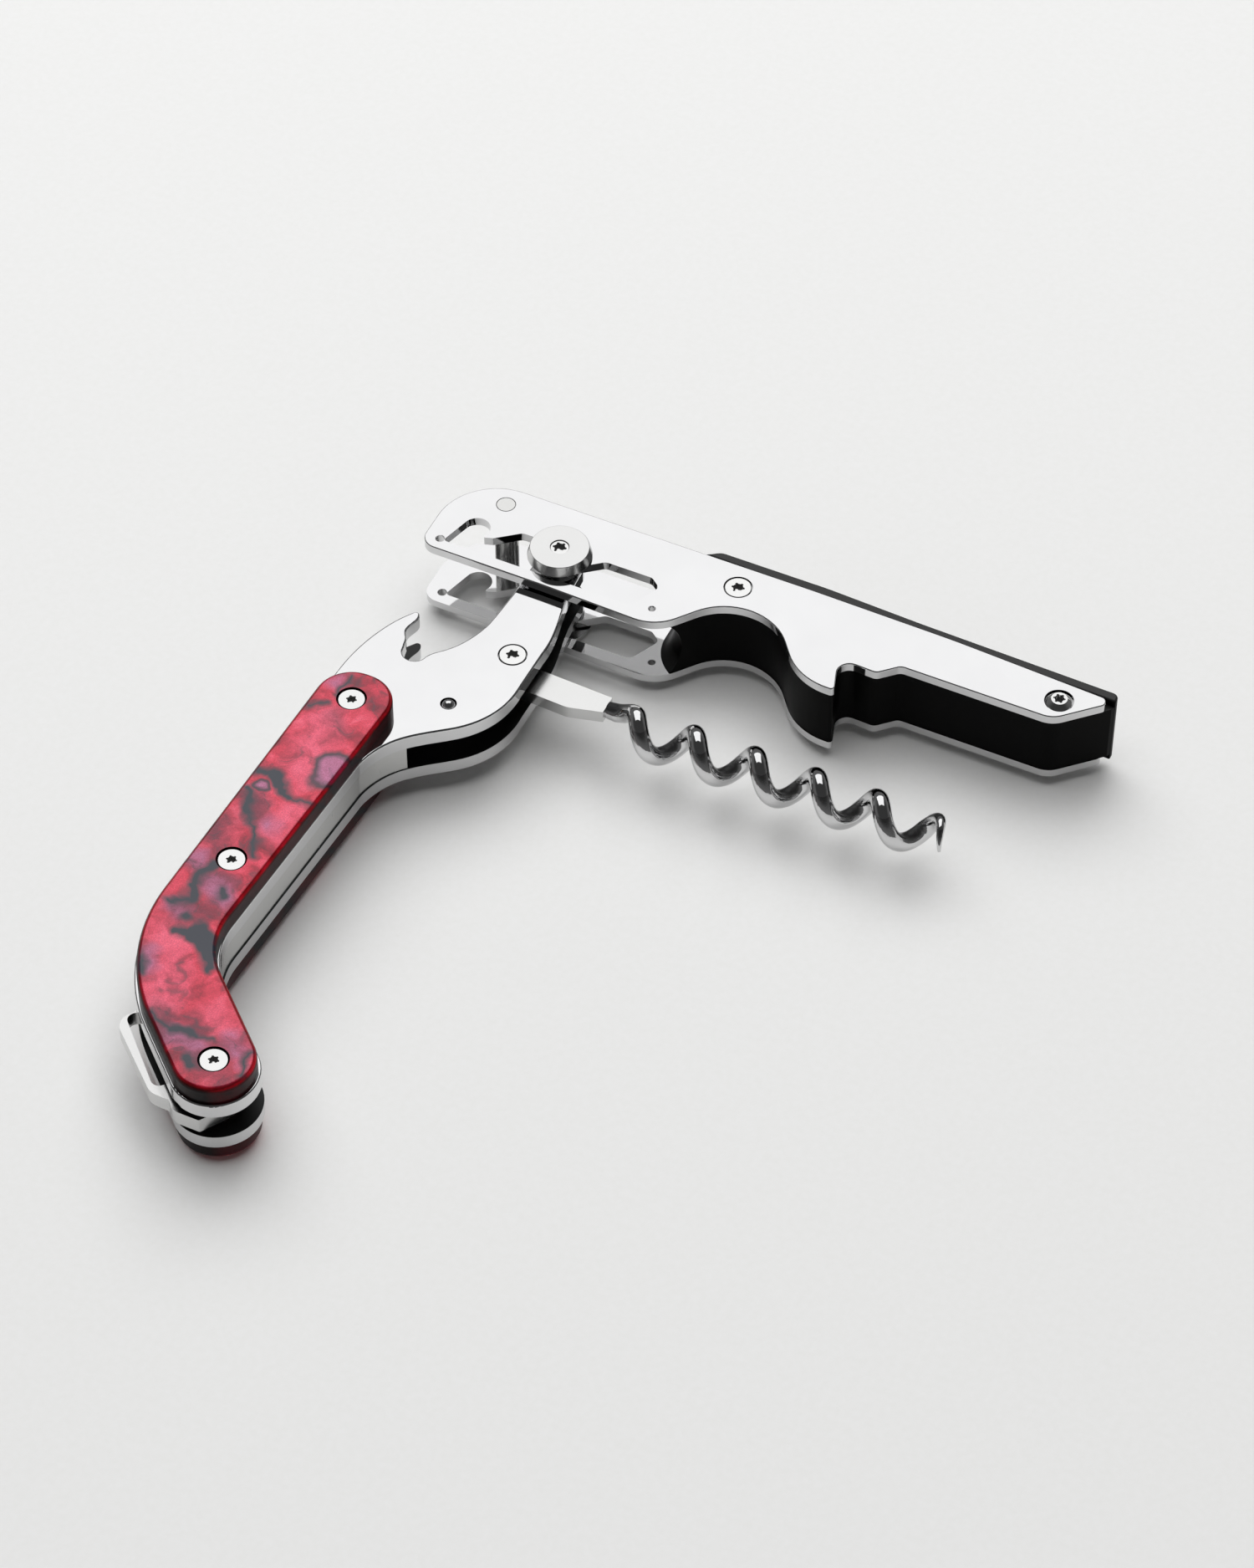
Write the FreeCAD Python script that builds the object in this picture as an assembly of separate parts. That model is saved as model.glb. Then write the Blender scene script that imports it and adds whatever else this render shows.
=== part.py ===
import FreeCAD, Part
import math
import os

# Lever corkscrew: two-plate handle, two-plate lever on a roller axle, swinging worm
# and a folding foil blade. Work frame, in millimetres: X along the open lever and the
# worm, Y along the straight grip with the grip on the minus side, Z through the stack
# of plates. The roller axle is at X = Y = 0 and the mid-plane of the stack is Z = 0.
# PLACE moves everything so that the lowest face rests on Z = 0 under the box centre.

V = FreeCAD.Vector

# Levels in the stack, measured from the mid-plane
HANDLE_IN = 2.3        # inner face of a handle plate
HANDLE_OUT = 4.75      # outer face of a handle plate
SCALE_OUT = 7.75       # outer face of a grip scale
LEVER_IN = 5.2         # inner face of a lever plate
LEVER_OUT = 6.7        # outer face of a lever plate
SPINE_OUT = 6.5        # half height of the insert's back spine
CAP_IN = 6.82          # inner face of a roller cap's shoulder
CAP_BRIM = 7.1         # lower face of a roller cap's brim
CAP_OUT = 8.7          # outer face of a roller cap
ARM_HALF = 1.1         # half thickness of the worm's arm
BLADE_HALF = 1.3       # half thickness of the foil blade
THROUGH = 9.0          # beyond the outermost face on either side, for through cuts

# Levels of the seats that screw heads sit on, and of the tops of those heads
GRIP_SEAT, GRIP_HEAD = 6.4, 7.55
WORM_SEAT, WORM_HEAD = 3.6, 4.78
LEVER_SEAT, LEVER_HEAD = 5.8, 6.66
CAP_SEAT, CAP_HEAD = 7.6, 8.55

# Pivots and fixings (X, Y)
WORM_PIVOT = (1.96, -20.32)
BLADE_PIVOT = (0.32, -111.14)
SCALE_PINS = ((-14.47, -41.34), (-15.38, -77.15))
DETENT = (-2.24, -33.54)
LEVER_FLUSH = (27.61, 5.72)
LEVER_TALL = (80.98, 4.95)
LEVER_POST = (-12.49, 6.47)
LEVER_HOLES = ((-18.35, -4.6, 0.75), (17.65, -4.1, 0.6))

EDGE_STEP = 0.2        # the backspacer sits this far inside the plates' edges

# Radii
AXLE_R = 1.3
CAP_R = 4.6            # outer face of a roller cap, whose side widens to BRIM_R
BRIM_R = 5.05
CAP_HEAD_R = 1.5       # screw in a roller cap
BUSH_R = 2.4
RUN = 0.05             # running clearance of the pivots
FIT = 0.02             # clearance of parts fixed together
HEAD_R = 2.1           # screw heads
SHANK_R = 0.9          # screw shanks, in the barrels' bores of BORE_R
BORE_R = 0.95
SLIM_R = 0.7           # shank of a cap screw, in bores of SLIM_R + FIT
BARREL_R = 1.6
POST_R = 1.55          # ends of the lever post
HEAD_GAP = 0.18        # ring left round a screw head sunk in steel
SCALE_GAP = 0.22       # and in a grip scale
PIN_R = 1.2            # detent pin and its round ends
PIN_RISE = 0.4         # how far the pin's round ends stand out of the plates
SCOOP_R = 7.5          # hollow worked into the insert's round end
FLANGE_R = 3.3         # flanges of the roller bush and shoulders of the caps
WASHER_GAP = 0.02      # between a washer and the plate, and twice that at the arm

# Worm
WORM_AXIS_Y = -22.55
WORM_R = 2.55          # radius of the wire's centre line about the worm's axis
WIRE_R = 1.45
WORM_PITCH = 10.0
ARM_END = 18.0         # blunt end of the arm
WORM_START = 19.5      # where the neck from the arm reaches the wire's full width
NECK_Y = -20.35        # axis of that neck
WORM_CREST = 22.6      # where the centre line first passes CREST_ANGLE
CREST_ANGLE = 39.0

PLACE = V(-33.32, 52.82, CAP_OUT)


def rounded_wire(corners, z):
    """Closed wire through corners (x, y) or (x, y, radius), with tangent arcs."""
    joints = []
    count = len(corners)
    for index in range(count):
        corner = V(corners[index][0], corners[index][1], z)
        radius = corners[index][2] if len(corners[index]) > 2 else 0
        before = corners[index - 1]
        after = corners[(index + 1) % count]
        back = (V(before[0], before[1], z) - corner).normalize()
        ahead = (V(after[0], after[1], z) - corner).normalize()
        if radius == 0:
            joints.append((corner, None, corner))
            continue
        half = back.getAngle(ahead) / 2
        reach = radius / math.tan(half)
        middle = corner + (back + ahead).normalize() * (radius / math.sin(half) - radius)
        joints.append((corner + back * reach, middle, corner + ahead * reach))
    edges = []
    for index in range(count):
        enter, middle, leave = joints[index]
        following = joints[(index + 1) % count][0]
        if middle is not None:
            edges.append(Part.Arc(enter, middle, leave).toShape())
        if leave.distanceToPoint(following) > 1e-4:
            edges.append(Part.LineSegment(leave, following).toShape())
    return Part.Wire(edges)


def prism(corners, low, high):
    return Part.Face(rounded_wire(corners, low)).extrude(V(0, 0, high - low))


def inset_prism(corners, inset, low, high):
    face = Part.Face(rounded_wire(corners, low))
    return face.makeOffset2D(-inset).extrude(V(0, 0, high - low))


def disc(centre, radius, low, high):
    return Part.makeCylinder(radius, high - low, V(centre[0], centre[1], low))


def below(shape):
    """The same piece on the other side of the mid-plane."""
    return shape.mirror(V(0, 0, 0), V(0, 0, 1))


def both_sides(shape):
    return Part.makeCompound([shape, below(shape)])


def rim_edges(shape, level, smallest=2.0):
    """Edges of the face at a level, leaving out the rims of small holes."""
    found = []
    for face in shape.Faces:
        flat = abs(face.BoundBox.ZMax - level) < 1e-4 and face.BoundBox.ZLength < 1e-4
        if flat:
            for wire in face.Wires:
                if wire.BoundBox.DiagonalLength > smallest:
                    found.extend(wire.Edges)
    return found


def soften(shape, level, radius, smallest=2.0):
    return shape.makeFillet(radius, rim_edges(shape, level, smallest))


def torx(centre, size, low, high):
    """Six-lobed driver recess whose lobes reach out to the size."""
    lobe_r = size * 0.22
    lobe_at = size - lobe_r
    recess = disc(centre, size * 0.76, low, high)
    for step in range(6):
        angle = math.radians(60 * step + 10)
        lobe = (centre[0] + lobe_at * math.cos(angle), centre[1] + lobe_at * math.sin(angle))
        recess = recess.fuse(disc(lobe, lobe_r, low, high))
    return recess


def flat_screw(centre, seat, top, shank_low, head_r=HEAD_R, shank_r=SHANK_R, drive=1.05):
    """Flat-headed screw with a driver recess; its shank points to the mid-plane."""
    recess_depth = 0.7
    head = soften(disc(centre, head_r, seat, top), top, 0.15)
    screw = head.fuse(disc(centre, shank_r, shank_low, seat))
    return screw.cut(torx(centre, drive, top - recess_depth, top + 1))


def barrel(centre, seat):
    """Threaded sleeve across the mid-plane, taking a screw at each end."""
    half = seat - FIT
    sleeve = disc(centre, BARREL_R, -half, half)
    return sleeve.cut(disc(centre, BORE_R, -THROUGH, THROUGH))


# ---------------------------------------------------------------- handle outlines

# Band that carries the grip scales: straight leg, bend and tail leg
GRIP = [
    (-20.75, -35.0, 6.2), (-7.95, -35.0, 6.2), (-8.6, -50.0, 60), (-10.68, -92.1, 12),
    (9.85, -110.6, 6.6), (0.1, -119.75, 6.6), (-22.65, -99.2, 29),
]

# The scale follows the band a little inside it, and closer at the leg's inner side
SCALE = [
    (-20.75, -35.0, 6.2), (-7.55, -35.0, 6.2), (-8.2, -50.0, 60), (-10.3, -92.44, 12),
    (9.85, -110.6, 6.6), (0.1, -119.75, 6.6), (-22.65, -99.2, 29),
]

# Head: tongue to the roller axle, cap-lifter jaw and the shoulder above the grip
HEAD_RIGHT = [
    (3.75, 0.0), (3.95, -3.2), (4.3, -6.6), (5.1, -10.4), (5.8, -14.0), (5.95, -18.0),
]
HEAD_SHOULDER = [
    (5.95, -25.5), (5.7, -29.7), (4.4, -33.4), (1.9, -36.8), (-1.2, -39.4),
    (-4.2, -41.9), (-6.1, -44.0), (-7.4, -46.2), (-8.35, -48.9), (-8.75, -53.0),
]
JAW_THROAT = [
    (-9.85, -26.3), (-9.4, -25.4), (-8.2, -24.1), (-6.5, -21.9), (-5.1, -18.9),
    (-4.35, -16.2), (-4.05, -13.0), (-3.8, -9.4), (-3.75, -5.0), (-3.75, 0.0),
]
JAW_HOOK = [
    (-14.75, -18.75), (-14.5, -19.9), (-14.95, -21.6), (-14.95, -22.9), (-14.2, -24.2),
    (-13.85, -25.6), (-13.7, -26.2),
]
HEAD_LEFT = [
    (-20.8, -42.0), (-20.6, -35.5), (-20.35, -31.5), (-19.0, -25.3), (-17.2, -21.0),
    (-15.75, -18.75),
]


def curve(points):
    shape = Part.BSplineCurve()
    shape.interpolate([V(x, y, 0) for x, y in points])
    return shape.toShape()


def arc(first, middle, last):
    return Part.Arc(V(*first, 0), V(*middle, 0), V(*last, 0)).toShape()


def line(first, last):
    return Part.LineSegment(V(*first, 0), V(*last, 0)).toShape()


def head_face():
    edges = [
        arc(JAW_THROAT[-1], (0, 3.75), HEAD_RIGHT[0]),
        curve(HEAD_RIGHT),
        line(HEAD_RIGHT[-1], HEAD_SHOULDER[0]),
        curve(HEAD_SHOULDER),
        line(HEAD_SHOULDER[-1], (-14.0, -53.0)),
        line((-14.0, -53.0), (-14.0, -42.0)),
        line((-14.0, -42.0), HEAD_LEFT[0]),
        curve(HEAD_LEFT),
        arc(HEAD_LEFT[-1], (-15.25, -18.45), JAW_HOOK[0]),
        curve(JAW_HOOK),
        arc(JAW_HOOK[-1], (-11.8, -28.0), JAW_THROAT[0]),
        curve(JAW_THROAT),
    ]
    return Part.Face(Part.Wire(edges))


# ---------------------------------------------------------------- handle pieces

def plate_area(low, high):
    """Whole handle outline as a solid between two levels."""
    head = head_face().extrude(V(0, 0, high - low))
    head.translate(V(0, 0, low))
    return head.fuse(prism(GRIP, low, high)).removeSplitter()


def handle_plate():
    """Upper handle plate with its pivot, barrel and detent holes."""
    plate = soften(plate_area(HANDLE_IN, HANDLE_OUT), HANDLE_OUT, 0.3)
    for centre, radius in (
        ((0, 0), BUSH_R + FIT),
        (WORM_PIVOT, BARREL_R + FIT),
        (BLADE_PIVOT, BARREL_R + FIT),
        (SCALE_PINS[0], BARREL_R + FIT),
        (SCALE_PINS[1], BARREL_R + FIT),
        (DETENT, PIN_R + 0.07),
    ):
        plate = plate.cut(disc(centre, radius, 0, THROUGH))
    return plate.cut(disc(WORM_PIVOT, HEAD_R + HEAD_GAP, WORM_SEAT, THROUGH))


def grip_scale():
    """Rounded grip scale with counterbores for its three screws."""
    scale = inset_prism(SCALE, 0.5, HANDLE_OUT, SCALE_OUT)
    scale = soften(scale, SCALE_OUT, 0.85)
    for centre in SCALE_PINS + (BLADE_PIVOT,):
        scale = scale.cut(disc(centre, BARREL_R + FIT, 0, THROUGH))
        scale = scale.cut(disc(centre, HEAD_R + SCALE_GAP, GRIP_SEAT, THROUGH))
    return scale


def backspacer():
    """Spacer between the handle plates: a back wall up to the jaw, full width at the
    straight leg, then a rim along the inner side of the bend that guards the folded
    blade's edge."""
    area = plate_area(-HANDLE_IN, HANDLE_IN)
    block = prism([(-30, -30.3), (-9.5, -30.3, 1.5), (-9.5, -37.0, 1.5), (-4.6, -42.7),
                   (5, -60), (-5.6, -79, 4), (-13.5, -84.5, 4), (-30, -84.5)], -THROUGH, THROUGH)
    rim = prism([(-13.0, -70), (-5, -70), (-5, -91, 6), (8, -103.0), (1.2, -103.9, 1),
                 (-12.6, -93.0, 9)], -THROUGH, THROUGH)
    spacer = area.common(block.fuse(rim))
    for side in (-EDGE_STEP, EDGE_STEP):
        spacer = spacer.common(area.translated(V(side, 0, 0)))
    for centre in SCALE_PINS:
        spacer = spacer.cut(disc(centre, BARREL_R + FIT, -THROUGH, THROUGH))
    return spacer


def roller_bush():
    """Flanged bush in the tongue: carries the roller axle, spaces the lever plates."""
    bush = disc((0, 0), BUSH_R, -HANDLE_OUT, HANDLE_OUT)
    bush = bush.fuse(disc((0, 0), FLANGE_R, HANDLE_OUT, LEVER_IN - RUN))
    bush = bush.fuse(disc((0, 0), FLANGE_R, RUN - LEVER_IN, -HANDLE_OUT))
    return bush.cut(disc((0, 0), AXLE_R + RUN, -THROUGH, THROUGH))


def detent_pin():
    """Sprung pin through both plates; its round ends click into the lever's holes."""
    end = HANDLE_OUT + PIN_RISE - PIN_R
    pin = disc(DETENT, PIN_R, -end, end)
    for level in (-end, end):
        pin = pin.fuse(Part.makeSphere(PIN_R, V(DETENT[0], DETENT[1], level)))
    return pin


def thrust_washers(centre, outer, arm_half):
    ring = disc(centre, outer, arm_half + 2 * WASHER_GAP, HANDLE_IN - WASHER_GAP)
    return both_sides(ring.cut(disc(centre, BARREL_R + FIT, 0, THROUGH)))


# ---------------------------------------------------------------- worm and blade

def worm_arm():
    """Flat arm from the worm pivot to its blunt end, where the neck of the worm starts."""
    arm = prism([(-1.5, -16.95, 2.8), (5.2, -18.25, 9), (18.6, -18.8), (18.6, -21.9),
                 (12.6, -23.5, 5), (5.0, -23.15, 12), (-1.5, -23.75, 2.8)],
                -ARM_HALF, ARM_HALF)
    arm = arm.common(Part.makeBox(ARM_END + 10, 12, 6, V(-10, -26, -3)))
    return arm.cut(disc(WORM_PIVOT, BARREL_R + RUN, -THROUGH, THROUGH))


def worm_path():
    """Centre line of the wire: a lead-in from the arm, the helix and its last part
    turn, which closes up a little towards the point. Angles are in degrees."""
    points = [V(WORM_START, NECK_Y, 0), V(WORM_START + 1.1, NECK_Y, 0.35)]
    step = 20
    last = 360 * 5 + 175
    tightened = 160
    angle = 75
    while angle <= last:
        x = WORM_CREST + (angle - CREST_ANGLE) / 360.0 * WORM_PITCH
        over = max(0.0, angle - (last - tightened))
        x -= over * over / tightened / 360.0 * WORM_PITCH * 0.4
        turn = math.radians(angle)
        points.append(V(x, WORM_AXIS_Y + WORM_R * math.cos(turn), WORM_R * math.sin(turn)))
        angle += step
    path = Part.BSplineCurve()
    path.interpolate(points)
    return path


def swept(path, first, last, radii):
    """Round bar along part of a curve, its radius changing evenly from end to end."""
    edge = Part.Edge(path, first, last)
    shell = Part.BRepOffsetAPI.MakePipeShell(Part.Wire(edge))
    shell.setFrenetMode(True)
    for value, radius in zip((first, last), radii):
        circle = Part.makeCircle(radius, path.value(value), path.tangent(value)[0])
        shell.add(Part.Wire(circle))
    shell.build()
    shell.makeSolid()
    return shell.shape()


def worm():
    """Open helix of polished wire, right-handed along +X, with a neck at the arm and
    tapering to a point."""
    path = worm_path()
    first, last = path.FirstParameter, path.LastParameter
    taper = first + (last - first) * 0.9
    coil = swept(path, first, taper, (WIRE_R, WIRE_R))
    point = swept(path, taper, last, (WIRE_R, 0.25))
    neck = Part.makeCone(1.3, WIRE_R, WORM_START - ARM_END, V(ARM_END, NECK_Y, 0), V(1, 0, 0))
    knuckle = Part.makeSphere(WIRE_R, V(WORM_START, NECK_Y, 0))
    return coil.fuse(point).fuse(knuckle).fuse(neck)


def foil_blade():
    """Blade folded along the tail leg; the finger loop stands out on its spine side."""
    body = prism([(-3.9, -107.7, 3.4), (0.8, -105.6, 3.2), (4.9, -110.2, 3.6),
                  (3.2, -114.0, 1.0), (0.9, -117.4, 0.4), (-3.4, -117.4, 2.4), (-4.6, -116.0, 0.8),
                  (-7.8, -115.9, 2.8), (-18.9, -106.3, 2.3), (-16.6, -103.7, 1.5),
                  (-19.6, -97.6, 3), (-17.9, -92.6, 2), (-11.2, -99.6, 30)],
                 -BLADE_HALF, BLADE_HALF)
    slot = prism([(-7.7, -115.0, 1.3), (-17.8, -105.2, 1.2), (-16.0, -103.3, 1.2),
                  (-5.9, -113.1, 1.3)], -THROUGH, THROUGH)
    blade = body.cut(slot)
    return blade.cut(disc(BLADE_PIVOT, BARREL_R + RUN, -THROUGH, THROUGH))


# ---------------------------------------------------------------- lever pieces

LEVER = [
    (-21.2, 10.1, 9.9), (-20.95, -6.7, 2.5), (0.0, -6.75), (19.6, -7.3, 7.0),
    (31.4, 7.84, 9.4), (43.5, -7.65, 10.0), (49.7, -7.65, 0.6), (47.55, -1.35, 2.0),
    (53.9, -1.6, 1.4), (56.8, 1.2, 1.6), (81.4, 1.15, 4.0), (88.8, 8.33, 1.0),
    (62.0, 9.7, 150), (38.0, 10.1, 150),
]
SLOT = [
    (-17.75, -4.75, 0.5), (14.3, -4.9, 1.4), (16.75, 0.4, 0.9), (14.9, 1.85, 1.2),
    (7.0, 1.85, 1.5), (3.5, -1.05, 0.5), (2.05, -1.5, 0.12), (1.5, 1.95), (-7.3, 1.95, 1.5),
    (-11.0, -1.05, 0.5), (-12.35, -1.5, 0.12), (-12.9, 1.5), (-15.95, 2.0, 1.7),
    (-17.5, -3.7, 0.6),
]
POCKETS = ((0.0, -0.05), (-14.25, -0.05))
POCKET_R = 2.12
INSERT_END = 17.3      # left end of the black insert
INSERT_FRONT = -6.3    # its front face beside the neck
END_R = 8.0            # round of its front corner


def lever_track():
    """Slot that the roller axle runs in, with two hooked pockets."""
    track = prism(SLOT, 0, THROUGH)
    for centre in POCKETS:
        track = track.fuse(disc(centre, POCKET_R, 0, THROUGH))
    return track


def lever_plate():
    """Upper lever plate: roller track, neck, rim hook, rivet and screw holes."""
    plate = prism(LEVER, LEVER_IN, LEVER_OUT)
    plate = soften(plate, LEVER_OUT, 0.2)
    plate = plate.cut(lever_track())
    plate = plate.cut(disc(LEVER_POST, POST_R + FIT, 0, THROUGH))
    for x, y, radius in LEVER_HOLES:
        plate = plate.cut(disc((x, y), radius, 0, THROUGH))
    for centre in (LEVER_FLUSH, LEVER_TALL):
        plate = plate.cut(disc(centre, BARREL_R + FIT, 0, THROUGH))
        plate = plate.cut(disc(centre, HEAD_R + HEAD_GAP, LEVER_SEAT - RUN, THROUGH))
    return plate


def end_scoop():
    """Hollow that runs along the insert's left end and round its front corner."""
    centre = V(INSERT_END + END_R, INSERT_FRONT + END_R, 0)
    reach = math.sqrt(SCOOP_R ** 2 - LEVER_IN ** 2)
    ring = Part.makeTorus(END_R + reach, SCOOP_R, centre, V(0, 0, 1), 0, 360, 105)
    ring.rotate(centre, V(0, 0, 1), 180)
    start = V(INSERT_END - reach, centre.y, 0)
    return ring.fuse(Part.makeCylinder(SCOOP_R, 20, start, V(0, 1, 0)))


def lever_insert():
    """Black core between the lever plates with a spine proud of their back edge. Its
    right end runs out in one flat wall past the plates' rounded tips to the spine."""
    core = inset_prism(LEVER, 0.12, -LEVER_IN, LEVER_IN)
    keep = prism([(INSERT_END, 12, 2.5), (INSERT_END, INSERT_FRONT, END_R),
                  (30, INSERT_FRONT), (30, -9), (95, -9), (95, 12)], -THROUGH, THROUGH)
    spine = prism([(19.9, 10.22, 0), (87.2, 8.62, 0), (88.65, 8.55, 0.25),
                   (88.65, 10.25, 1.0), (56.0, 11.05, 90), (40.0, 11.75, 60),
                   (22.1, 11.75, 2.0)], -SPINE_OUT, SPINE_OUT)
    back = [edge for edge in rim_edges(spine, SPINE_OUT) + rim_edges(spine, -SPINE_OUT)
            if edge.BoundBox.YMax > 10]
    spine = spine.makeFillet(0.35, back)
    tip = prism([(84.2, 4.02), (88.3, 8.0), (88.6, 8.7), (84.2, 9.2)], -LEVER_IN, LEVER_IN)
    room = Part.Face(rounded_wire(LEVER, LEVER_IN)).makeOffset2D(0.1)
    room = room.extrude(V(0, 0, 4))
    spine = spine.cut(room).cut(below(room))
    insert = core.common(keep).cut(end_scoop()).fuse(tip).fuse(spine).removeSplitter()
    for centre in (LEVER_FLUSH, LEVER_TALL):
        insert = insert.cut(disc(centre, BARREL_R + FIT, -THROUGH, THROUGH))
    return insert


def lever_post():
    """Shouldered post riveted flush through both plates."""
    ends = disc(LEVER_POST, POST_R, -LEVER_OUT, LEVER_OUT)
    ends = ends.makeChamfer(0.12, rim_edges(ends, LEVER_OUT) + rim_edges(ends, -LEVER_OUT))
    return ends.fuse(disc(LEVER_POST, 1.9, -LEVER_IN, LEVER_IN))


def button_screw(centre):
    """Domed screw standing a little above the lever plate."""
    shoulder = 6.45
    head = disc(centre, HEAD_R, LEVER_SEAT, shoulder)
    dome = Part.makeCone(HEAD_R, 1.25, 0.75, V(centre[0], centre[1], shoulder))
    screw = head.fuse(dome).fuse(disc(centre, SHANK_R, 3.4, LEVER_SEAT))
    return screw.cut(torx(centre, 0.95, 6.3, THROUGH))


def roller_cap():
    """Disc that keeps the roller axle in the lever's track."""
    cap = Part.makeCone(BRIM_R, CAP_R, CAP_OUT - CAP_BRIM, V(0, 0, CAP_BRIM))
    cap = soften(cap, CAP_OUT, 0.08)
    cap = cap.fuse(disc((0, 0), FLANGE_R, CAP_IN, CAP_BRIM))
    cap = cap.cut(disc((0, 0), CAP_HEAD_R + FIT, CAP_SEAT, THROUGH))
    return cap.cut(disc((0, 0), SLIM_R + FIT, 0, THROUGH))


def roller_axle():
    """Plain axle with a threaded hole in each end for the cap screws."""
    axle = disc((0, 0), AXLE_R, -CAP_IN, CAP_IN)
    hole = disc((0, 0), SLIM_R + FIT, 3.5, THROUGH)
    return axle.cut(hole).cut(below(hole))


# ---------------------------------------------------------------- assembly

def pieces():
    plate = handle_plate()
    scale = grip_scale()
    lever = lever_plate()
    cap = roller_cap()
    cap_screw = flat_screw((0, 0), CAP_SEAT, CAP_HEAD, 4.0, CAP_HEAD_R, SLIM_R, 1.12)
    worm_screw = flat_screw(WORM_PIVOT, WORM_SEAT, WORM_HEAD, 1.4)
    grip_screws = [flat_screw(centre, GRIP_SEAT, GRIP_HEAD, 3.0, drive=0.85)
                   for centre in SCALE_PINS]
    blade_screw = flat_screw(BLADE_PIVOT, GRIP_SEAT, GRIP_HEAD, 3.0, drive=0.85)
    flush_screw = flat_screw(LEVER_FLUSH, LEVER_SEAT, LEVER_HEAD, 3.4)
    tall_screw = button_screw(LEVER_TALL)
    return {
        "handle_plate_upper": plate,
        "handle_plate_lower": below(plate),
        "grip_scale_upper": scale,
        "grip_scale_lower": below(scale),
        "backspacer": backspacer(),
        "grip_barrels": Part.makeCompound(
            [barrel(centre, GRIP_SEAT) for centre in SCALE_PINS]),
        "grip_screws_upper": Part.makeCompound(grip_screws),
        "grip_screws_lower": Part.makeCompound([below(screw) for screw in grip_screws]),
        "detent_pin": detent_pin(),
        "roller_bush": roller_bush(),
        "worm_pivot_barrel": barrel(WORM_PIVOT, WORM_SEAT),
        "worm_pivot_screw_upper": worm_screw,
        "worm_pivot_screw_lower": below(worm_screw),
        "worm_washers": thrust_washers(WORM_PIVOT, 3.2, ARM_HALF),
        "blade_pivot_barrel": barrel(BLADE_PIVOT, GRIP_SEAT),
        "blade_pivot_screw_upper": blade_screw,
        "blade_pivot_screw_lower": below(blade_screw),
        "blade_washers": thrust_washers(BLADE_PIVOT, 3.4, BLADE_HALF),
        "worm_arm": worm_arm(),
        "worm": worm(),
        "foil_blade": foil_blade(),
        "roller_axle": roller_axle(),
        "roller_cap_upper": cap,
        "roller_cap_lower": below(cap),
        "roller_screw_upper": cap_screw,
        "roller_screw_lower": below(cap_screw),
        "lever_plate_upper": lever,
        "lever_plate_lower": below(lever),
        "lever_insert": lever_insert(),
        "lever_post": lever_post(),
        "lever_barrels": Part.makeCompound(
            [barrel(centre, LEVER_SEAT - RUN) for centre in (LEVER_FLUSH, LEVER_TALL)]),
        "lever_flush_screws": both_sides(flush_screw),
        "lever_button_screws": both_sides(tall_screw),
    }


def export_all():
    os.makedirs("parts", exist_ok=True)
    for name, shape in pieces().items():
        placed = shape.copy()
        placed.translate(PLACE)
        placed.exportStep("parts/" + name + ".step")


export_all()
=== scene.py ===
import math

import bpy
from mathutils import Euler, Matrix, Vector


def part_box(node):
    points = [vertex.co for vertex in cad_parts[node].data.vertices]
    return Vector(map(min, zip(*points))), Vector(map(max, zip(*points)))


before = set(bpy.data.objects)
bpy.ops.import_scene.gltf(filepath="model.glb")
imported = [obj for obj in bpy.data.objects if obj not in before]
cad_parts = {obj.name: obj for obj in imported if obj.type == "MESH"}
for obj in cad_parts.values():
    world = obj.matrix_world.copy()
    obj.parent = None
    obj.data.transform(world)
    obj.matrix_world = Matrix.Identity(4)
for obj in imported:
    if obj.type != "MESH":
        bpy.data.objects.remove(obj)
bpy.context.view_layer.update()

MM = 0.001
axle_low, axle_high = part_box("roller_axle")
AXLE = (axle_low + axle_high) / 2
SCALE_TOP = (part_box("grip_scale_upper")[1].z - AXLE.z) / MM     # in mm above the mid-plane


# ---------------------------------------------------------------- materials

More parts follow.
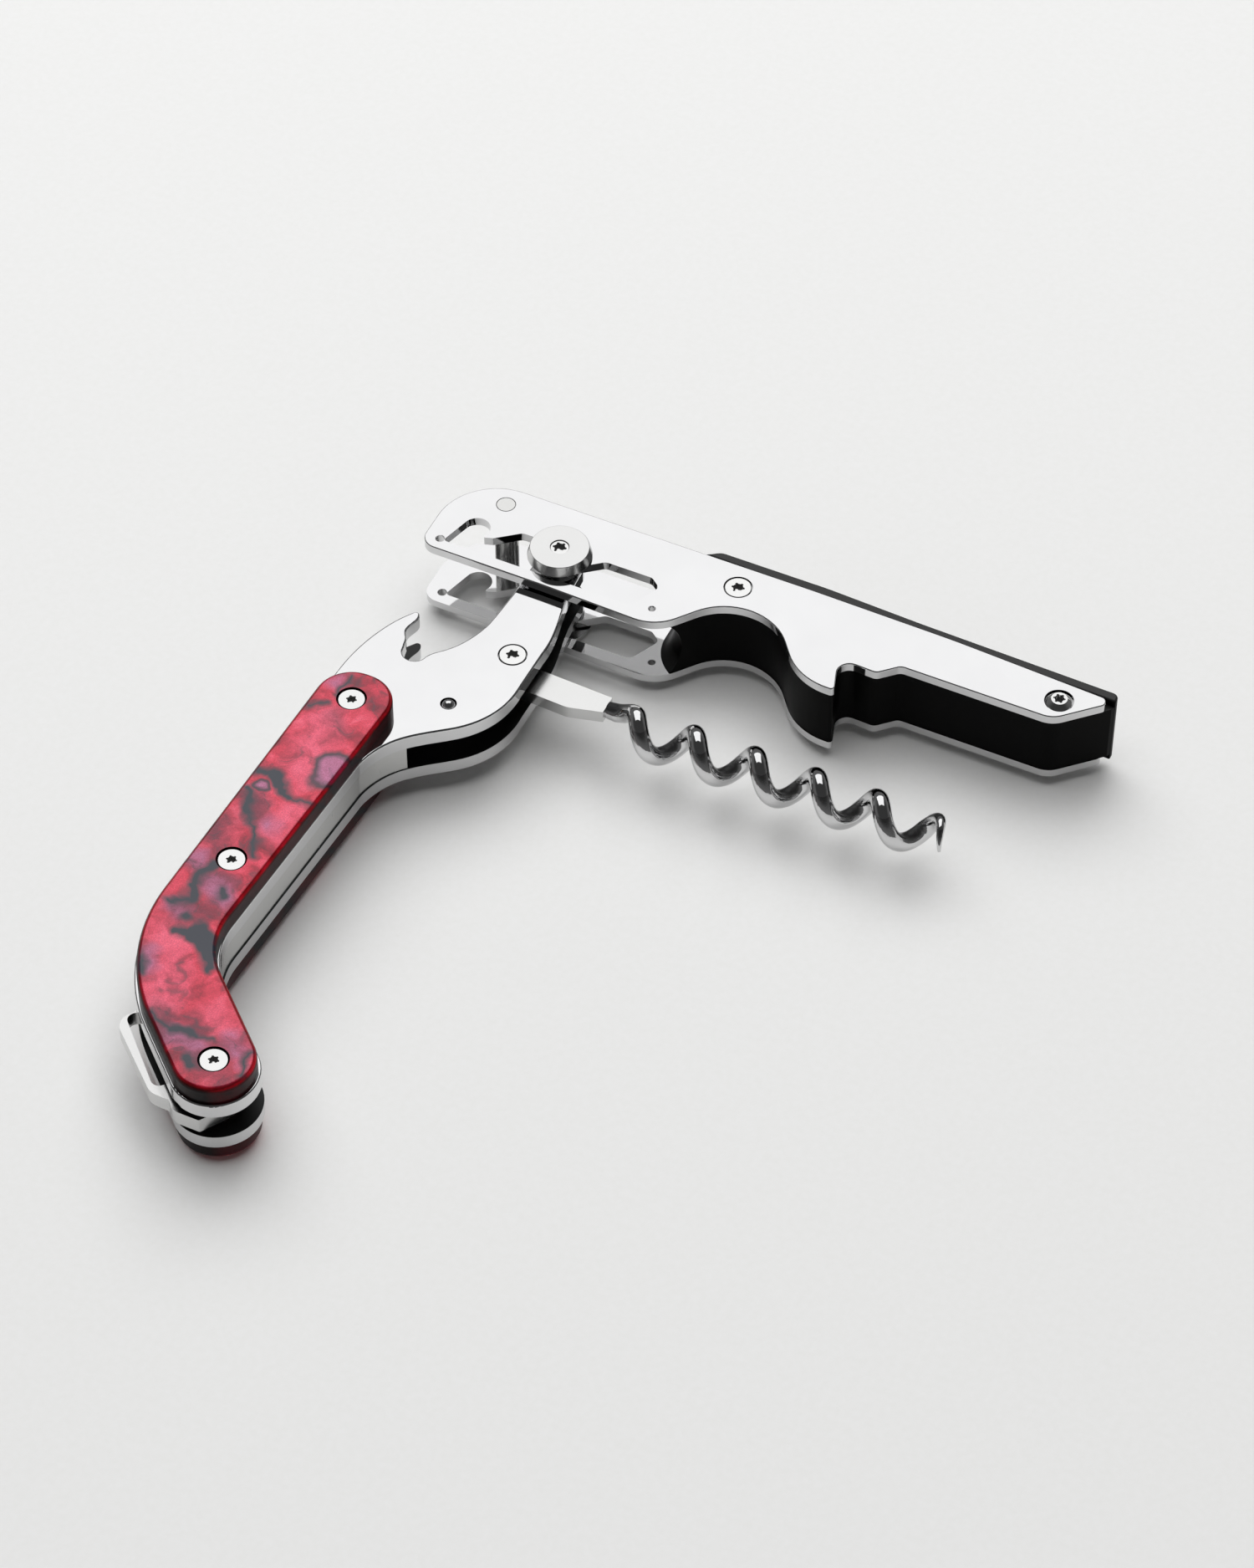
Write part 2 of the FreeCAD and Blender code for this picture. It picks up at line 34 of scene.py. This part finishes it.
class Nodes:
    """A small helper that adds shader nodes to one material and wires them up."""

    def __init__(self, name):
        self.material = bpy.data.materials.new(f"{name}_finish")
        self.material.use_nodes = True
        self.tree = self.material.node_tree
        self.shader = self.tree.nodes["Principled BSDF"]

    def add(self, kind, **inputs):
        node = self.tree.nodes.new(kind)
        for key, value in inputs.items():
            self.set(node, key, value)
        return node

    def set(self, node, key, value):
        """A socket of that name gets a value or another node's output; any other key is a property."""
        socket = next((s for s in node.inputs if s.name == key.replace("_", " ") and s.enabled), None)
        if socket is None:
            setattr(node, key, value)
        else:
            self.link(socket, value)

    def link(self, socket, value):
        if isinstance(value, bpy.types.NodeSocket):
            self.tree.links.new(value, socket)
        else:
            socket.default_value = value

    def place(self, stretch=(1, 1, 1), turn=0.0):
        """Position from the roller axle in millimetres, turned about Z and stretched."""
        where = self.add("ShaderNodeTexCoord")
        mapping = self.add("ShaderNodeMapping", Vector=where.outputs["Object"])
        mapping.inputs["Location"].default_value = [-a * s / MM for a, s in zip(AXLE, stretch)]
        mapping.inputs["Scale"].default_value = [s / MM for s in stretch]
        if not turn:
            return mapping.outputs["Vector"]
        turned = self.add("ShaderNodeVectorRotate", rotation_type="Z_AXIS", Angle=turn)
        self.link(turned.inputs["Vector"], where.outputs["Object"])
        self.link(mapping.inputs["Vector"], turned.outputs["Vector"])
        return mapping.outputs["Vector"]

    def noise(self, where, scale, detail=2.0, rough=0.5, warp=0.0):
        return self.add("ShaderNodeTexNoise", Vector=where, Scale=scale, Detail=detail,
                        Roughness=rough, Distortion=warp)

    def ramp(self, factor, stops):
        node = self.add("ShaderNodeValToRGB", Fac=factor)
        band = node.color_ramp
        while len(band.elements) < len(stops):
            band.elements.new(0.5)
        for element, (at, colour) in zip(band.elements, stops):
            element.position = at
            element.color = (*colour, 1.0)
        return node.outputs["Color"]

    def span(self, factor, low, high, at_low=0.0, at_high=1.0):
        """The value at_low..at_high spread over low..high, and held there outside."""
        node = self.add("ShaderNodeMapRange", Value=factor)
        node.inputs["From Min"].default_value = at_low
        node.inputs["From Max"].default_value = at_high
        node.inputs["To Min"].default_value = low
        node.inputs["To Max"].default_value = high
        return node.outputs["Result"]

    def math(self, operation, a, b=0.0, clamp=False):
        node = self.add("ShaderNodeMath", operation=operation, use_clamp=clamp)
        for socket, value in zip(node.inputs, (a, b)):
            self.link(socket, value)
        return node.outputs["Value"]

    def vector(self, operation, a, b=(0, 0, 0), c=(0, 0, 0)):
        node = self.add("ShaderNodeVectorMath", operation=operation)
        for socket, value in zip(node.inputs, (a, b, c)):
            self.link(socket, value)
        return node.outputs["Vector"]

    def stroke(self, where, stroke):
        """Distance in mm from the edge of a round-ended stroke (x1, y1, x2, y2, radius)."""
        start = Vector((stroke[0], stroke[1], 0))
        run = Vector((stroke[2], stroke[3], 0)) - start
        off = self.vector("SUBTRACT", where, start)
        if run.length > 0:
            dot = self.add("ShaderNodeVectorMath", operation="DOT_PRODUCT")
            self.link(dot.inputs[0], off)
            self.link(dot.inputs[1], run / run.length_squared)
            share = self.math("MAXIMUM", dot.outputs["Value"], 0.0, clamp=True)
            back = self.add("ShaderNodeVectorMath", operation="SCALE")
            self.link(back.inputs[0], run)
            self.link(back.inputs["Scale"], share)
            off = self.vector("SUBTRACT", off, back.outputs["Vector"])
        length = self.add("ShaderNodeVectorMath", operation="LENGTH")
        self.link(length.inputs[0], off)
        return self.math("SUBTRACT", length.outputs["Value"], stroke[4])

    def strokes(self, where, rows, soft):
        """1 well inside any of the strokes, fading to 0 over soft mm across their edge."""
        nearest = self.stroke(where, rows[0])
        for row in rows[1:]:
            nearest = self.math("MINIMUM", nearest, self.stroke(where, row))
        return self.span(nearest, 1.0, 0.0, -0.3 * soft, 0.7 * soft)

    def upward(self, low=0.45, high=0.95):
        """1 on faces that lie flat in the stack of plates, 0 on its side walls."""
        where = self.add("ShaderNodeTexCoord")
        split = self.add("ShaderNodeSeparateXYZ", Vector=where.outputs["Normal"])
        return self.span(self.math("ABSOLUTE", split.outputs["Z"]), 0.0, 1.0, low, high)

    def mix(self, factor, a, b, blend="MIX"):
        """A colour between a and b; the indices pick the node's colour sockets."""
        node = self.add("ShaderNodeMix")
        node.data_type = "RGBA"
        node.blend_type = blend
        ends = [(*end, 1.0) if isinstance(end, (list, tuple)) else end for end in (a, b)]
        colour_sockets = (node.inputs[0], node.inputs[6], node.inputs[7])
        for socket, value in zip(colour_sockets, (factor, *ends)):
            self.link(socket, value)
        return node.outputs[2]

    def bump(self, height, strength, distance):
        node = self.add("ShaderNodeBump", Height=height, Strength=strength, Distance=distance)
        self.link(self.shader.inputs["Normal"], node.outputs["Normal"])


CLOUDY_TONE = 0.96     # the darkest tone of a metal's cloudy polish, as a share of its colour
INNER_SHADE_TONE = 0.08       # and the tone of the painted shade on the flat faces inside the handle
DULL_ROUGH = 0.5
GRAIN_HEIGHT = 0.01 * MM


def metal(name, colour, rough, spread, grain, relief, turn=0.0, shaded_core=0.0):
    """Steel or bronze: a fine drawn grain, cloudy polish and a slight tone change.

    The roughness stays within spread of rough. The grain has about that many lines per
    mm along each axis, is turned about Z, and its relief is a share of the full bump.
    Flat faces within the shaded core depth, in mm of the mid-plane, inside the handle,
    are darkened as painted shade and left rough.
    """
    n = Nodes(name)
    n.shader.inputs["Metallic"].default_value = 1.0
    cloudy = n.noise(n.place(), 0.09, detail=4.0, rough=0.6).outputs["Fac"]
    drawn = n.place(stretch=grain, turn=turn)
    lines = n.noise(drawn, 1.0, detail=5.0, rough=0.65).outputs["Fac"]
    tone = n.ramp(cloudy, [(0.3, [c * CLOUDY_TONE for c in colour]), (0.7, colour)])
    polish = n.span(n.mix(0.5, cloudy, lines), rough - spread, rough + spread)
    # Painted shade: flat faces between the plates are darkened to stand for the shade in the gap, and
    # roughened.
    if shaded_core:
        split = n.add("ShaderNodeSeparateXYZ", Vector=n.place())
        core = n.math("LESS_THAN", n.math("ABSOLUTE", split.outputs["Z"]), shaded_core)
        inside = n.math("MULTIPLY", core, n.upward())
        tone = n.mix(inside, tone, [c * INNER_SHADE_TONE for c in colour])
        polish = n.math("MAXIMUM", polish, n.math("MULTIPLY", inside, DULL_ROUGH))
    n.set(n.shader, "Base Color", tone)
    n.set(n.shader, "Roughness", polish)
    n.bump(lines, relief, GRAIN_HEIGHT)
    return n.material


# Strokes in the cast block, in mm from the roller axle: x, y to x, y, and the half width.
# Blue-black veins, then the softer wine, mauve and rose pools round them.
INK = [
    (-16.6, -36.6, -16.7, -42.0, 0.35), (-20.0, -45.2, -17.6, -44.3, 0.30),
    (-20.3, -59.7, -17.4, -59.9, 0.55), (-17.4, -59.9, -15.6, -61.6, 0.85),
    (-15.6, -61.6, -13.4, -62.6, 0.60), (-13.4, -62.6, -9.8, -62.9, 0.30),
    (-20.2, -63.6, -18.9, -66.0, 0.55), (-18.9, -66.2, -18.0, -68.2, 0.65),
    (-18.0, -68.0, -15.8, -70.6, 0.30), (-15.8, -70.6, -14.0, -72.2, 0.40),
    (-14.0, -72.2, -13.1, -75.2, 0.45), (-17.0, -78.8, -17.6, -81.4, 0.80),
    (-17.6, -81.4, -17.9, -84.2, 0.60), (-17.9, -84.2, -17.2, -86.8, 0.85),
    (-17.4, -87.2, -20.2, -87.8, 0.45), (-13.9, -83.4, -13.3, -84.0, 0.65),
    (-16.0, -89.7, -15.4, -90.1, 0.50), (-15.9, -92.3, -13.4, -92.0, 0.70),
    (-13.3, -91.9, -10.9, -93.1, 1.55), (-10.9, -93.2, -8.2, -97.0, 0.75),
    (-17.1, -98.6, -16.8, -100.6, 0.45), (-11.9, -107.3, -8.4, -108.7, 0.35),
    (-8.4, -108.7, -4.2, -108.4, 0.55), (-4.2, -108.4, -1.4, -107.9, 0.25),
    (-2.9, -113.1, -2.4, -113.4, 0.95), (4.4, -108.8, 5.0, -111.4, 0.35),
]
SMOKE = [
    (-14.8, -45.6, -14.2, -46.4, 0.90), (-19.2, -64.5, -16.4, -69.0, 1.50),
    (-19.4, -71.0, -18.6, -80.0, 1.60), (-15.8, -82.5, -12.4, -85.5, 2.20),
    (-19.0, -88.4, -14.0, -89.4, 1.60), (-10.2, -107.8, 0.6, -110.4, 2.60),
    (-3.0, -112.6, 3.6, -113.4, 1.40), (-17.4, -97.6, -16.4, -100.6, 0.80),
]
MAUVE = [
    (-14.0, -68.7, -13.2, -69.5, 0.90), (-20.8, -79.0, -19.8, -80.5, 1.20),
    (-15.0, -82.5, -13.0, -84.0, 1.60), (1.6, -106.6, 3.2, -109.0, 1.30),
    (-19.0, -88.5, -17.0, -89.0, 1.00), (-18.6, -37.8, -17.6, -39.5, 0.80),
    (-8.0, -109.9, -3.0, -110.4, 1.30), (-16.6, -97.5, -16.0, -99.5, 0.80),
]
ROSE = [
    (-17.0, -65.6, -16.2, -66.2, 0.80), (-15.5, -47.6, -14.0, -57.5, 2.40),
    (-17.9, -92.6, -17.0, -95.8, 1.10), (-13.6, -99.5, -11.0, -105.5, 2.30),
    (-14.5, -95.8, -12.5, -98.5, 1.00), (-11.6, -65.0, -12.6, -70.5, 0.90),
    (-4.0, -104.2, 0.0, -105.6, 0.80),
]
# Round mauve spots with a dark ring: x, y, radius and the width of the ring
PEBBLES = [(-10.0, -55.9, 3.3, 1.1), (-18.3, -62.5, 1.1, 0.7)]

SWIRL = 4.4            # how far the pattern is dragged about, in mm
SLANT = (0.35, 0.90)   # how far the veins lean along X and Y, in mm per mm of depth
CRIMSON_CLOUDS = [
    (0.30, (0.20, 0.008, 0.026)), (0.42, (0.42, 0.012, 0.040)), (0.51, (0.62, 0.027, 0.066)),
    (0.60, (0.72, 0.047, 0.098)), (0.72, (0.82, 0.105, 0.175)),
]
ROSE_TONE = (0.82, 0.115, 0.200)
SMOKE_TONE = (0.185, 0.022, 0.048)
MAUVE_TONE = (0.40, 0.14, 0.27)
PEBBLE_TONE = (0.42, 0.155, 0.29)
INK_TONE = (0.022, 0.026, 0.040)
# painted shade: the ink is darker still on the side walls
INK_SHADED_WALL_TONE = (0.004, 0.004, 0.007)
PEARL_FLECKS = [
    (0.30, (0.76, 0.70, 0.74)), (0.52, (1.0, 1.0, 1.0)), (0.74, (1.25, 1.45, 1.40)),
]
# Painted light and shade from the side wall at 0 over the rounded edge to the face at 1: painted
# shade, nearly black, on the side wall and a painted scarlet highlight on the rounded edge
RIM_LIGHT_AND_SHADE = [
    (0.05, (0.07, 0.015, 0.03)), (0.35, (0.16, 0.015, 0.04)), (0.62, (0.80, 0.03, 0.12)),
    (0.90, (0.80, 0.12, 0.22)), (0.985, (1.0, 1.0, 1.0)),
]
BLACK_TO_WHITE = [(0.0, (0.0, 0.0, 0.0)), (1.0, (1.0, 1.0, 1.0))]


def cast_flow(n, where):
    """The place in the block, dragged about by a slow noise as the resin was stirred."""
    drift = n.noise(where, 0.24, detail=2.5, rough=0.5).outputs["Color"]
    centred = n.vector("SUBTRACT", where, (SWIRL / 2, SWIRL / 2, 0.0))
    return n.vector("MULTIPLY_ADD", drift, (SWIRL, SWIRL, 0.0), centred)


def slanted(n, flow):
    """The place on the top face where a vein that reaches this depth comes out."""
    split = n.add("ShaderNodeSeparateXYZ", Vector=flow)
    depth = n.math("SUBTRACT", split.outputs["Z"], SCALE_TOP)
    plane = n.add("ShaderNodeCombineXYZ")
    for axis, lean in zip("XY", SLANT):
        shift = n.math("MULTIPLY", depth, lean)
        n.link(plane.inputs[axis], n.math("ADD", split.outputs[axis], shift))
    return plane.outputs["Vector"]


def cast_colours(n, flow):
    """The block's colour and, as 0 to 1, where its blue-black ink lies."""
    plane = slanted(n, flow)
    clouds = n.noise(flow, 0.28, detail=4.0, rough=0.55, warp=0.3).outputs["Fac"]
    broken = n.span(clouds, 0.35, 1.0, 0.36, 0.60)
    thin = n.span(clouds, 1.0, 0.55, 0.40, 0.62)
    colour = n.ramp(clouds, CRIMSON_CLOUDS)
    for rows, soft, patchy, strength, tone in (
        (ROSE, 3.0, broken, 0.85, ROSE_TONE),
        (SMOKE, 2.4, thin, 0.88, SMOKE_TONE),
        (MAUVE, 2.0, broken, 0.75, MAUVE_TONE),
    ):
        share = n.math("MULTIPLY", n.strokes(plane, rows, soft), patchy)
        colour = n.mix(n.math("MULTIPLY", share, strength), colour, tone)
    lace_level = n.noise(flow, 0.17, detail=2.0, rough=0.5).outputs["Fac"]
    lace = n.span(n.math("ABSOLUTE", n.math("SUBTRACT", lace_level, 0.5)), 0.45, 0.0, 0.003, 0.028)
    lace = n.math("MULTIPLY", lace, n.span(clouds, 1.0, 0.0, 0.44, 0.52))
    ink = n.math("MAXIMUM", n.strokes(plane, INK, 1.1), lace)
    for x, y, radius, ring in PEBBLES:
        edge = n.stroke(plane, (x, y, x, y, radius))
        colour = n.mix(n.span(edge, 0.85, 0.0, -0.5, 0.2), colour, PEBBLE_TONE)
        ink = n.math("MAXIMUM", ink, n.span(n.math("ABSOLUTE", edge), 0.9, 0.0, 0.15, ring))
    return colour, ink


def painted_rim_shade(n, level):
    """Painted shade: 1 on the face and on edges that look along +X, darker on the other edges."""
    normal = n.add("ShaderNodeTexCoord").outputs["Normal"]
    facing_x = n.add("ShaderNodeSeparateXYZ", Vector=normal).outputs["X"]
    lit = n.span(facing_x, 0.0, 1.0, 0.25, 0.60)
    return n.ramp(n.math("MAXIMUM", lit, n.span(level, 0.12, 1.0, 0.66, 0.985)), BLACK_TO_WHITE)


def marbled_acrylic(name):
    """Cast pearl acrylic: crimson and rose clouds with blue-black veins under a gloss skin.

    The pearl flakes lie parallel to the face, so it is milky from above. Painted light and
    shade make it scarlet on the rounded edge and nearly black wine red on the side wall.
    """
    n = Nodes(name)
    where = n.place()
    colour, ink = cast_colours(n, cast_flow(n, where))
    speck = n.noise(where, 6.0, detail=2.0, rough=0.7).outputs["Fac"]
    level = n.upward(0.0, 1.0)
    face = n.span(level, 0.0, 1.0, 0.45, 0.97)
    # The pearl flecks are the cast's own colour; the two rim layers are painted light and shade.
    for layer in (n.ramp(speck, PEARL_FLECKS), n.ramp(level, RIM_LIGHT_AND_SHADE), painted_rim_shade(n, level)):
        colour = n.mix(1.0, colour, layer, "MULTIPLY")
    pearl = n.math("MULTIPLY", n.math("SUBTRACT", 1.0, ink), n.span(face, 0.0, 0.7))
    # The ink gets painted shade on the side walls.
    n.set(n.shader, "Base Color", n.mix(ink, colour, n.mix(face, INK_SHADED_WALL_TONE, INK_TONE)))
    n.set(n.shader, "Metallic", pearl)
    n.set(n.shader, "Roughness", n.span(speck, 0.38, 0.55))
    n.set(n.shader, "Coat Weight", n.span(face, 0.12, 1.0))
    n.shader.inputs["Specular IOR Level"].default_value = 0.1
    n.shader.inputs["Coat Roughness"].default_value = 0.03
    n.shader.inputs["Coat IOR"].default_value = 1.5
    return n.material


def black_polymer(name):
    """Fine-blasted black insert with dull walls; painted shade keeps the walls nearly black and a
    painted sheen makes the up-facing spine a little grey.
    """
    n = Nodes(name)
    grain = n.noise(n.place(), 6.0, detail=3.0, rough=0.6).outputs["Fac"]
    face = n.upward(0.3, 0.9)
    # Painted shade on the walls and painted light on the up-facing faces.
    wall = n.ramp(grain, [(0.3, [0.0006] * 3), (0.7, [0.0016] * 3)])
    painted_top_sheen = n.ramp(grain, [(0.3, [0.010] * 3), (0.7, [0.020] * 3)])
    n.set(n.shader, "Base Color", n.mix(face, wall, painted_top_sheen))
    n.set(n.shader, "Roughness", n.span(grain, 0.34, 0.46))
    n.set(n.shader, "Specular IOR Level", n.span(face, 0.04, 0.40))
    n.bump(grain, 0.15, 0.02 * MM)
    return n.material


FINISHES = {
    "polished_steel": metal("polished_steel", (0.64, 0.64, 0.645), rough=0.05, spread=0.03,
                            grain=(0.12, 6.0, 6.0), relief=0.02, turn=math.radians(25),
                            shaded_core=3.0),
    "ground_steel": metal("ground_steel", (0.62, 0.62, 0.615), rough=0.22, spread=0.05,
                          grain=(0.2, 6.0, 6.0), relief=0.05, turn=math.radians(10)),
    "satin_steel": metal("satin_steel", (0.60, 0.60, 0.59), rough=0.26, spread=0.06,
                         grain=(3.0, 3.0, 0.3), relief=0.04),
    "screw_steel": metal("screw_steel", (0.66, 0.66, 0.655), rough=0.12, spread=0.05,
                         grain=(3.0, 3.0, 3.0), relief=0.05),
    # Painted shade: the washers' bronze is darkened far below bronze, for the shade they sit in
    # between the plates.
    "bronze_washer": metal("bronze_washer", (0.20, 0.14, 0.09), rough=0.30, spread=0.06,
                           grain=(3.0, 3.0, 3.0), relief=0.08),
    "red_scale": marbled_acrylic("red_scale"),
    "black_insert": black_polymer("black_insert"),
}

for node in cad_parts.values():
    for material_slot in node.material_slots:
        packed_slot = material_slot.material.name
        material_slot.material = FINISHES[packed_slot]


# ---------------------------------------------------------------- floor and light

VIEW_TILT = math.radians(47.9)      # how far the camera looks down
VIEW_TURN = math.radians(25.6)      # how far it stands round to the +X side
VIEW_DISTANCE = 0.750
LOOK_AT = AXLE + Vector((27.18, -32.78, 0)) * MM
LENS = 115.2           # focal length and sensor width in mm
SENSOR = 36.0

FLOOR_HALF = 4.0
WALL_HEIGHT, WALL_GREY = 0.40, 0.14         # heights are sines of the elevation
CEILING_HEIGHT, CEILING_GREY = 0.66, 0.05


def studio_direction(azimuth, elevation):
    """A direction in the studio; azimuth 0 is straight behind the object as the camera sees it."""
    turn = math.radians(azimuth) - VIEW_TURN
    rise = math.radians(elevation)
    level = math.cos(rise)
    return Vector((math.sin(turn) * level, math.cos(turn) * level, math.sin(rise)))


def softbox(name, azimuth, elevation, distance, size, radiance):
    """A plain rectangular lamp that faces the object; cameras don't see it, mirrors may."""
    data = bpy.data.lights.new(name, "AREA")
    data.shape = "RECTANGLE"
    data.size, data.size_y = size
    data.energy = radiance * math.pi * size[0] * size[1]
    lamp = bpy.data.objects.new(name, data)
    bpy.context.scene.collection.objects.link(lamp)
    towards = studio_direction(azimuth, elevation)
    lamp.location = LOOK_AT + towards * distance
    lamp.rotation_euler = towards.to_track_quat("Z", "Y").to_euler()
    lamp.visible_camera = False
    return lamp


def floor_plane():
    """Plain off-white paper that the part lies on."""
    mesh = bpy.data.meshes.new("floor")
    turns = ((-1, -1), (1, -1), (1, 1), (-1, 1))
    corners = [(x * FLOOR_HALF, y * FLOOR_HALF, 0) for x, y in turns]
    mesh.from_pydata(corners, [], [(0, 1, 2, 3)])
    floor = bpy.data.objects.new("floor", mesh)
    bpy.context.scene.collection.objects.link(floor)
    n = Nodes("floor_paper")
    fibre = n.noise(n.place(), 0.9, detail=6.0, rough=0.6).outputs["Fac"]
    paper = n.ramp(fibre, [(0.3, (0.83, 0.83, 0.82)), (0.7, (0.85, 0.85, 0.845))])
    n.set(n.shader, "Base Color", paper)
    n.shader.inputs["Roughness"].default_value = 0.9
    mesh.materials.append(n.material)


def studio_world():
    """Grey walls all round and a dark ceiling."""
    world = bpy.data.worlds.new("studio")
    bpy.context.scene.world = world
    world.use_nodes = True
    tree = world.node_tree
    where = tree.nodes.new("ShaderNodeTexCoord")
    split = tree.nodes.new("ShaderNodeSeparateXYZ")
    band = tree.nodes.new("ShaderNodeValToRGB")
    tree.links.new(where.outputs["Generated"], split.inputs[0])
    tree.links.new(split.outputs["Z"], band.inputs["Fac"])
    tree.links.new(band.outputs["Color"], tree.nodes["Background"].inputs["Color"])
    levels = ((WALL_HEIGHT, WALL_GREY), (CEILING_HEIGHT, CEILING_GREY))
    for element, (height, grey) in zip(band.color_ramp.elements, levels):
        element.position = height
        element.color = (grey, grey, grey, 1)


floor_plane()
studio_world()
softbox("back_window", azimuth=-4, elevation=50, distance=1.3, size=(1.3, 1.05), radiance=1.36)
key = softbox("key", azimuth=-14, elevation=70, distance=2.2, size=(3.2, 3.2), radiance=1.88)
key.visible_glossy = False


# ---------------------------------------------------------------- camera

camera_data = bpy.data.cameras.new("camera")
camera_data.lens = LENS
camera_data.sensor_width = SENSOR
camera_data.clip_start = 0.05
camera_data.clip_end = 20.0
camera = bpy.data.objects.new("camera", camera_data)
bpy.context.scene.collection.objects.link(camera)
camera.rotation_euler = Euler((math.pi / 2 - VIEW_TILT, 0, VIEW_TURN), "XYZ")
camera.location = LOOK_AT + camera.rotation_euler.to_matrix() @ Vector((0, 0, VIEW_DISTANCE))
bpy.context.scene.camera = camera
bpy.context.scene.view_settings.view_transform = "Standard"
